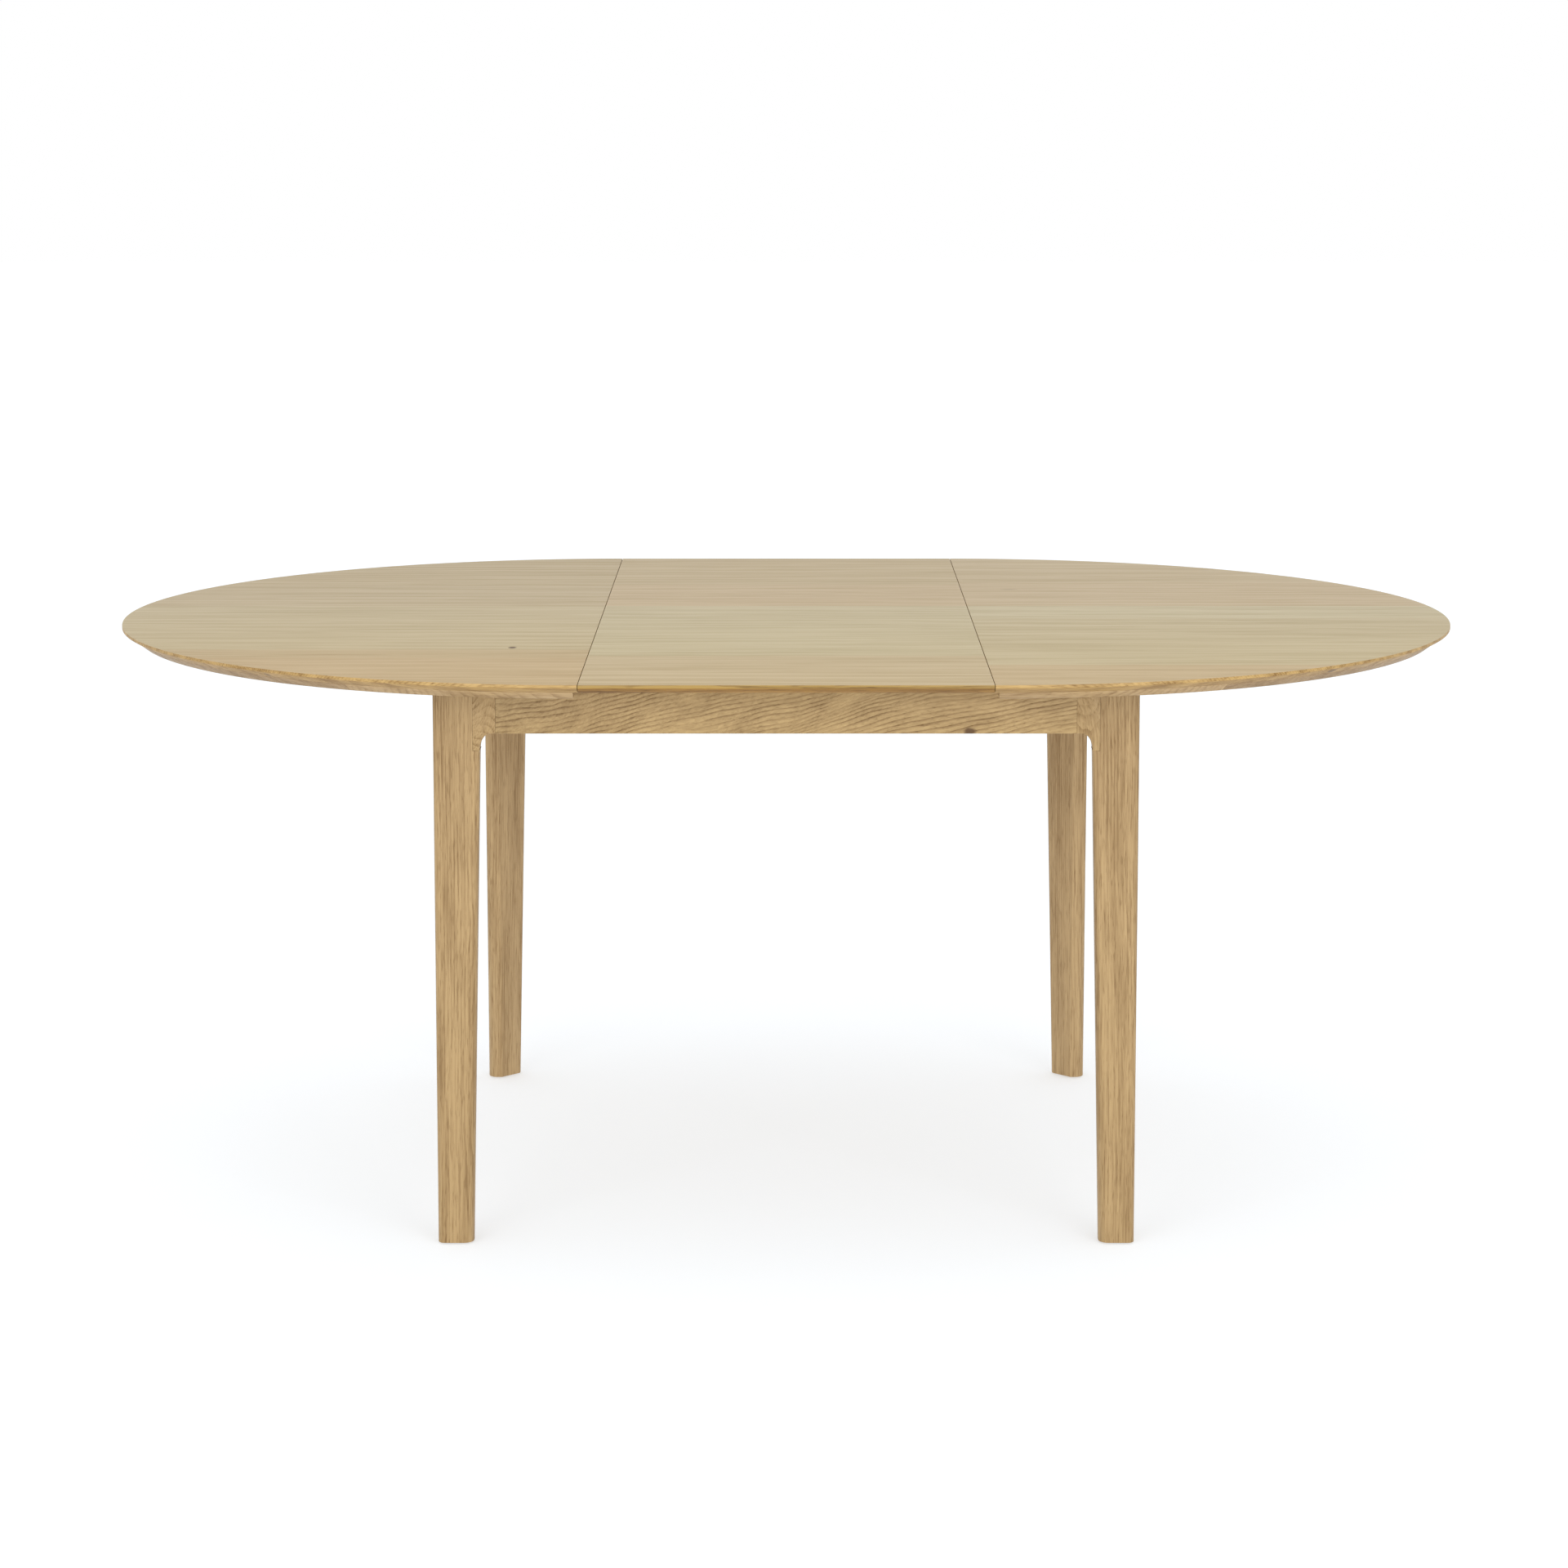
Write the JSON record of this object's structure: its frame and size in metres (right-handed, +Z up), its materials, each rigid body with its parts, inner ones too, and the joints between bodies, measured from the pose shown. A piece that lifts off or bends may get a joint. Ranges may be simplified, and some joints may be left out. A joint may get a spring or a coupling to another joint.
{
  "type": "extending dining table",
  "caption": "Oval oak dining table that extends: two half-round top halves slide apart on wooden runners over a fixed apron base, with a lift-out centre leaf.",
  "frame": {"origin": "on the floor, under the middle of the table with its leaf in", "axes": "+X the way the table extends (its length), -Y the front, +Z up"},
  "size_m": [1.7898, 1.29, 0.75],
  "materials": {
    "oak_top": "matt oiled oak, pale",
    "oak_rim": "matt oiled oak, golden edge",
    "oak_base": "matt oiled oak, warmer than the top",
    "beech": "bare sanded beech",
    "steel": "zinc plated",
    "brass": "turned brass",
    "glide": "dark nylon"
  },
  "bodies": {
    "base": {"apron_front": "oak_base", "apron_back": "oak_base", "apron_left": "oak_base", "apron_right": "oak_base", "leg_front_left": "oak_base", "leg_front_right": "oak_base", "leg_back_left": "oak_base", "leg_back_right": "oak_base", "ears_front_left": "oak_base", "ears_front_right": "oak_base", "ears_back_left": "oak_base", "ears_back_right": "oak_base", "corner_block_front_left": "beech", "corner_block_front_right": "beech", "corner_block_back_left": "beech", "corner_block_back_right": "beech", "hanger_bolts": "steel", "hanger_nuts": "steel", "apron_dowels": "beech", "foot_glides": "glide", "bearer_left": "beech", "bearer_right": "beech", "bearer_dowels": "beech", "guide_front": "beech", "guide_back": "beech", "guide_screws": "steel"},
    "left_top": {"left_panel": "oak_top", "left_rim_1": "oak_rim", "left_rim_2": "oak_rim", "left_rim_3": "oak_rim", "left_rim_4": "oak_rim", "left_rim_5": "oak_rim", "left_seam_batten": "beech", "left_cleats": "beech", "left_runner_front": "beech", "left_runner_back": "beech", "left_runner_screws": "steel", "left_stop_pegs": "beech", "left_support_screws": "brass"},
    "right_top": {"right_panel": "oak_top", "right_rim_1": "oak_rim", "right_rim_2": "oak_rim", "right_rim_3": "oak_rim", "right_rim_4": "oak_rim", "right_rim_5": "oak_rim", "right_seam_batten": "beech", "right_cleats": "beech", "right_runner_front": "beech", "right_runner_back": "beech", "right_runner_screws": "steel", "right_stop_pegs": "beech", "right_support_screws": "brass"},
    "leaf": {"leaf_panel": "oak_top", "leaf_batten_left": "beech", "leaf_batten_right": "beech", "leaf_batten_screws": "steel"},
    "left_support_front": {"left_support_front": "steel"},
    "left_support_back": {"left_support_back": "steel"},
    "right_support_front": {"right_support_front": "steel"},
    "right_support_back": {"right_support_back": "steel"}
  },
  "joints": [
    {"name": "left_top_slide", "type": "slide", "parent": "base", "child": "left_top", "axis": [-1, 0, 0], "range_m": [0, 0.04]},
    {"name": "right_top_slide", "type": "slide", "parent": "base", "child": "right_top", "axis": [1, 0, 0], "range_m": [0, 0.04]},
    {"name": "leaf_lift", "type": "slide", "parent": "base", "child": "leaf", "axis": [0, 0, 1], "range_m": [0, 0.2]},
    {"name": "left_front_support_swing", "type": "hinge", "parent": "left_top", "child": "left_support_front", "pos_m": [-0.276, -0.15, 0.7285], "axis": [0, 0, 1], "range_deg": [0, 90]},
    {"name": "left_back_support_swing", "type": "hinge", "parent": "left_top", "child": "left_support_back", "pos_m": [-0.276, 0.15, 0.7285], "axis": [0, 0, -1], "range_deg": [0, 90]},
    {"name": "right_front_support_swing", "type": "hinge", "parent": "right_top", "child": "right_support_front", "pos_m": [0.276, -0.15, 0.7285], "axis": [0, 0, -1], "range_deg": [0, 90]},
    {"name": "right_back_support_swing", "type": "hinge", "parent": "right_top", "child": "right_support_back", "pos_m": [0.276, 0.15, 0.7285], "axis": [0, 0, 1], "range_deg": [0, 90]}
  ]
}
